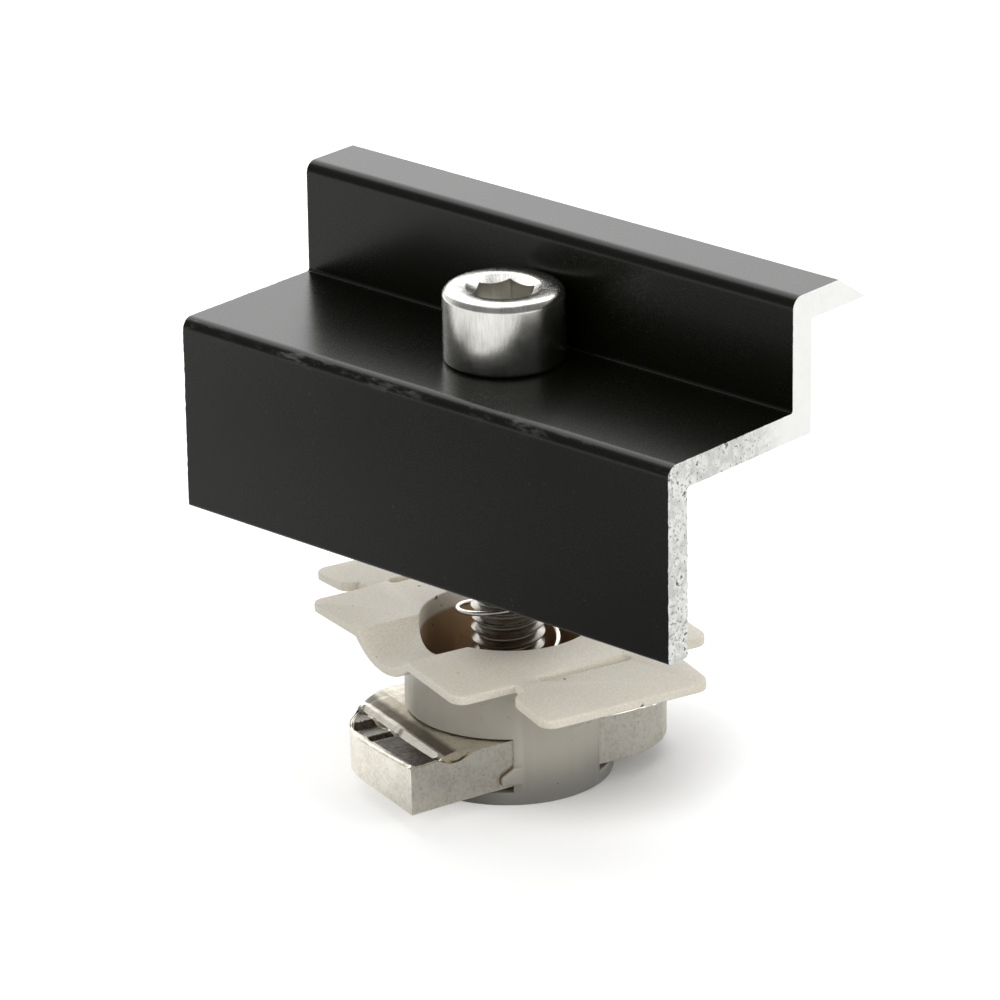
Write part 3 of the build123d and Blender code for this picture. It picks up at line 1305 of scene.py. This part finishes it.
@dataclass
class NutRetainer:
    """The moulding that carries the nut: a cup with a springy plate, its edges eased by the mould."""

    edge_radius: float = 0.16 * MM
    plate_height: float = 14.2 * MM
    bore_radius: float = 9.5 * MM
    node: str = "nut_retainer"

    def build(self) -> None:
        """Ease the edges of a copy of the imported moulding, and dress it."""
        moulding = Piece.copied("moulded_retainer", self.node)
        moulding.modify("BEVEL", width=self.edge_radius, segments=2, limit_method="ANGLE",
                        angle_limit=math.radians(30.0), use_clamp_overlap=False, harden_normals=True)
        finish = MouldedPlastic(plate_height=self.plate_height, bore_radius=self.bore_radius)
        moulding.dress(Slot.PLASTIC, [self.node], finish.material())
        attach(moulding.object, "rail_unit")


def arc_points(centre: tuple[float, float], radius: float, start: float, end: float,
               steps: int) -> list[tuple[float, float]]:
    """Return points along an arc.

    Args:
        centre: The arc's centre.
        radius: The arc's radius.
        start: The angle of its first point, in degrees.
        end: The angle of its last point, in degrees.
        steps: How many runs the arc is divided into.

    Returns:
        The points, both ends included.
    """
    angles = [math.radians(start + (end - start) * step / steps) for step in range(steps + 1)]
    return [(centre[0] + radius * math.cos(angle), centre[1] + radius * math.sin(angle))
            for angle in angles]


def round_corner(point: Vector, corner: tuple[float, float], inward: tuple[int, int],
                 radius: float) -> Vector:
    """Round one outer corner of a section that lies across X.

    Args:
        point: A point of the section.
        corner: The corner's place across and up.
        inward: The signs of the way into the section.
        radius: The corner's radius.

    Returns:
        The point, moved if it lies in the corner's square.
    """
    centre = corner[0] + inward[0] * radius, corner[1] + inward[1] * radius
    out = (centre[0] - point.y) * inward[0] / radius, (centre[1] - point.z) * inward[1] / radius
    if min(out) <= 0.0 or max(out) > 1.001:
        return point
    across = out[0] * math.sqrt(1.0 - out[1] ** 2 / 2)
    up = out[1] * math.sqrt(1.0 - out[0] ** 2 / 2)
    return Vector((point.x, centre[0] - inward[0] * across * radius,
                   centre[1] - inward[1] * up * radius))


def fill_corner(point: Vector, corner: tuple[float, float], outward: tuple[int, int],
                radius: float) -> Vector:
    """Fill one inner corner of a section that lies across X with a small arc.

    Args:
        point: A point of the section.
        corner: The corner's place across and up.
        outward: The signs of the way out of the section.
        radius: The arc's radius.

    Returns:
        The point, moved if it lies on the section's edge close to the corner.
    """
    past = (point.y - corner[0]) * outward[0], (point.z - corner[1]) * outward[1]
    if min(past) < -0.01 * radius or max(past) >= radius:
        return point
    rise = [radius - math.sqrt(radius ** 2 - (radius - max(0.0, run)) ** 2) for run in past]
    if max(past) < 0.01 * radius:
        rise = [radius * (1.0 - math.sqrt(0.5))] * 2
    elif past[0] > past[1]:
        rise = [0.0, rise[0]]
    else:
        rise = [rise[1], 0.0]
    return Vector((point.x, point.y + outward[0] * rise[0], point.z + outward[1] * rise[1]))


def table(pairs: tuple, place: float) -> float:
    """Return the value at a place, read off straight runs.

    Args:
        pairs: Pairs of a place and a value, in the order of their places.
        place: The place.

    Returns:
        The value, held past either end.
    """
    if place <= pairs[0][0]:
        return pairs[0][1]
    for (start, low), (end, high) in zip(pairs, pairs[1:]):
        if place <= end:
            return low + (high - low) * (place - start) / (end - start)
    return pairs[-1][1]


def smooth_step(share: float) -> float:
    """Return an eased step from 0 to 1 as the share goes from 0 to 1."""
    held = min(1.0, max(0.0, share))
    return held * held * (3.0 - 2.0 * held)


def distance(along: Value, across: Value, middle: tuple[float, float]) -> Value:
    """Return how far a place lies from a middle point, seen from above."""
    east, north = along - middle[0], across - middle[1]
    return (east * east + north * north) ** 0.5


# Studio


@dataclass(frozen=True)
class Softbox:
    """A square lamp that faces the object."""

    name: str
    place: Point
    size: float
    radiance: float
    mirrored: bool = True
    aim: Point = (0.0, 0.0, 0.03)

    def hang(self) -> None:
        """Hang the lamp, with a radiance of 1 as bright as white."""
        light = bpy.data.lights.new(self.name, "AREA")
        light.shape = "SQUARE"
        light.size = self.size
        light.energy = self.radiance * math.pi * self.size * self.size
        lamp = bpy.data.objects.new(self.name, light)
        lamp.location = self.place
        lamp.visible_glossy = self.mirrored
        way = Vector(self.aim) - Vector(self.place)
        lamp.rotation_euler = way.to_track_quat("-Z", "Y").to_euler()
        bpy.context.scene.collection.objects.link(lamp)


@dataclass(frozen=True)
class ReflectedShadowPatch:
    """A patch of painted shadow on the floor that shows in reflections only, between runs along and
    across.
    """

    along: tuple
    across: tuple
    dark: float


@dataclass
class Studio:
    """The pale floor, the soft lamps, the world and the camera."""

    floor_size: float = 8.0
    floor_albedo: float = 0.88
    bounce_albedo: float = 0.6
    floor_glow: float = 0.37
    far_glow: float = 0.25
    far_run: tuple[float, float] = (0.06, 0.4)
    shade_middle: tuple[float, float] = (0.005, 0.008)
    shade_run: tuple[float, float] = (0.009, 0.023)
    white: Colour = (1.0, 1.0, 0.995)
    shadow_patches: tuple = (
        ReflectedShadowPatch((-0.090, -0.010, 0.08, 0.14), (-0.105, -0.085, -0.045, -0.025), 0.70),
        ReflectedShadowPatch((0.004, 0.014, 0.04, 0.07), (-0.024, -0.014, 0.03, 0.05), 0.45),
        ReflectedShadowPatch((-0.112, -0.092, -0.05, -0.02), (-0.135, -0.115, -0.092, -0.076), 0.9))
    world_light: float = 0.36
    bright_way: Point = (-0.66, 0.74, -0.35)
    bright_run: tuple[float, float] = (-0.15, 0.55)
    bright_side: float = 0.84
    dark_side: float = 0.22
    softboxes: tuple = (
        Softbox("back_softbox", (-0.56, 0.64, 0.58), 1.55, 1.45),
        Softbox("top_softbox", (-0.16, 0.05, 0.90), 0.6, 0.9),
        Softbox("right_softbox", (0.88, 0.15, 0.30), 0.55, 4.3, mirrored=False),
        Softbox("front_softbox", (0.10, -0.88, 0.40), 0.6, 2.7, mirrored=False))
    camera_place: Point = (0.404237, -0.450899, 0.273278)
    camera_turn: Point = (68.1517, 0.7306, 41.6477)
    lens: float = 221.62
    sensor: float = 36.0

    def build(self) -> None:
        """Set up everything that isn't the object."""
        self.floor()
        self.world()
        for softbox in self.softboxes:
            softbox.hang()
        self.camera()
        bpy.context.scene.view_settings.view_transform = "Standard"

    def floor(self) -> None:
        """Lay a floor that shows white but keeps the object's shadow, adds a painted shadow round its
        foot, and is clear from below.
        """
        bpy.ops.object.select_all(action="DESELECT")
        bpy.ops.mesh.primitive_plane_add(size=self.floor_size, location=(0.0, 0.0, 0.0))
        floor = Piece("floor")
        floor.settle()
        graph = ShaderGraph("pale_floor")
        along, across = graph.axes(graph.place())[:2]
        seen_straight = graph.node("ShaderNodeLightPath").out("Is Camera Ray")
        gloss = graph.node("ShaderNodeLightPath").out("Is Glossy Ray")
        far = distance(along, across, (0.0, 0.0)).ramp(*self.far_run)
        # Painted shadow: the glow is held back round shade_middle, so the floor darkens there beyond the
        # object's own shadow.
        clear_of = distance(along, across, self.shade_middle).ramp(*self.shade_run)
        west = (1.0 - along.ramp(-0.015, 0.0)) * across.ramp(-0.050, -0.035)
        patch_shadow, bare = 0.0, 1.0
        # Painted shadow in reflections: glossy rays see the floor darkened over these patches.
        for card in self.shadow_patches:
            patch = along.between(*card.along) * across.between(*card.across)
            patch_shadow = patch * card.dark * bare + patch_shadow
            bare = (1.0 - patch) * bare
        plain = graph.node("ShaderNodeBsdfDiffuse", None, (self.bounce_albedo,) * 3).out()
        pale = graph.node("ShaderNodeBsdfDiffuse", None, (self.floor_albedo,) * 3).out()
        dark = graph.node("ShaderNodeBsdfDiffuse", None, (0.0, 0.0, 0.0)).out()
        lit = graph.node("ShaderNodeMixShader", None, gloss * patch_shadow, pale, dark).out()
        bright = graph.node("ShaderNodeEmission", None, self.white, 1.0).out()
        level = far * self.far_glow + (seen_straight + gloss * west) * clear_of * self.floor_glow
        glow = graph.node("ShaderNodeMixShader", None, level, dark, bright).out()
        seen = graph.node("ShaderNodeAddShader", None, lit, glow).out()
        top = graph.node("ShaderNodeMixShader", None, self.shown_rays(graph), plain, seen).out()
        clear = graph.node("ShaderNodeBsdfTransparent").out()
        under = graph.node("ShaderNodeNewGeometry").out("Backfacing")
        surface = graph.node("ShaderNodeMixShader", None, under, top, clear).out()
        graph.node("ShaderNodeOutputMaterial", None, surface)
        floor.object.data.materials.append(graph.material)

    @staticmethod
    def shown_rays(graph: ShaderGraph) -> Value:
        """Return 1 for the rays that show the backdrop: camera, gloss and glass.

        Args:
            graph: The graph of the backdrop's material.

        Returns:
            The value.
        """
        rays = graph.node("ShaderNodeLightPath")
        total = rays.out("Is Camera Ray") + rays.out("Is Glossy Ray") + rays.out("Is Transmission Ray")
        return total.above(0.5)

    def world(self) -> None:
        """Make the world white to look at, dark to the front right in mirrors, and plain as a light."""
        world = bpy.data.worlds.new("studio_world")
        bpy.context.scene.world = world
        world.use_nodes = True
        graph = ShaderGraph.on(world.node_tree)
        gloss = graph.node("ShaderNodeLightPath").out("Is Glossy Ray")
        along, across, up = graph.axes(graph.node("ShaderNodeTexCoord").out("Generated"))
        way = along * self.bright_way[0] + across * self.bright_way[1] + up * self.bright_way[2]
        mirrored = way.ramp(*self.bright_run) * (self.bright_side - self.dark_side) + self.dark_side
        looked_at = 1.0 - gloss * (1.0 - mirrored)
        shown = self.shown_rays(graph)
        strength = shown * (looked_at - self.world_light) + self.world_light
        light = graph.node("ShaderNodeBackground", None, self.white, strength).out()
        graph.node("ShaderNodeOutputWorld", None, light)

    def camera(self) -> None:
        """Set up the camera."""
        camera = bpy.data.cameras.new("camera")
        camera.lens = self.lens
        camera.sensor_width = self.sensor
        camera.clip_start = 0.01
        camera.clip_end = 50.0
        camera.dof.use_dof = False
        seat = bpy.data.objects.new("camera", camera)
        seat.location = self.camera_place
        seat.rotation_euler = [math.radians(angle) for angle in self.camera_turn]
        bpy.context.scene.collection.objects.link(seat)
        bpy.context.scene.camera = seat


def main() -> None:
    """Build the clamp and its studio."""
    logging.basicConfig(level=logging.INFO, format="%(name)s: %(message)s")
    for assembly in (ClampProfile(), SocketScrew(), CoilSpring(), RailNut(), NutRetainer(), Studio()):
        assembly.build()
        LOG.info("%s is done", type(assembly).__name__)


if __name__ == "__main__":
    main()
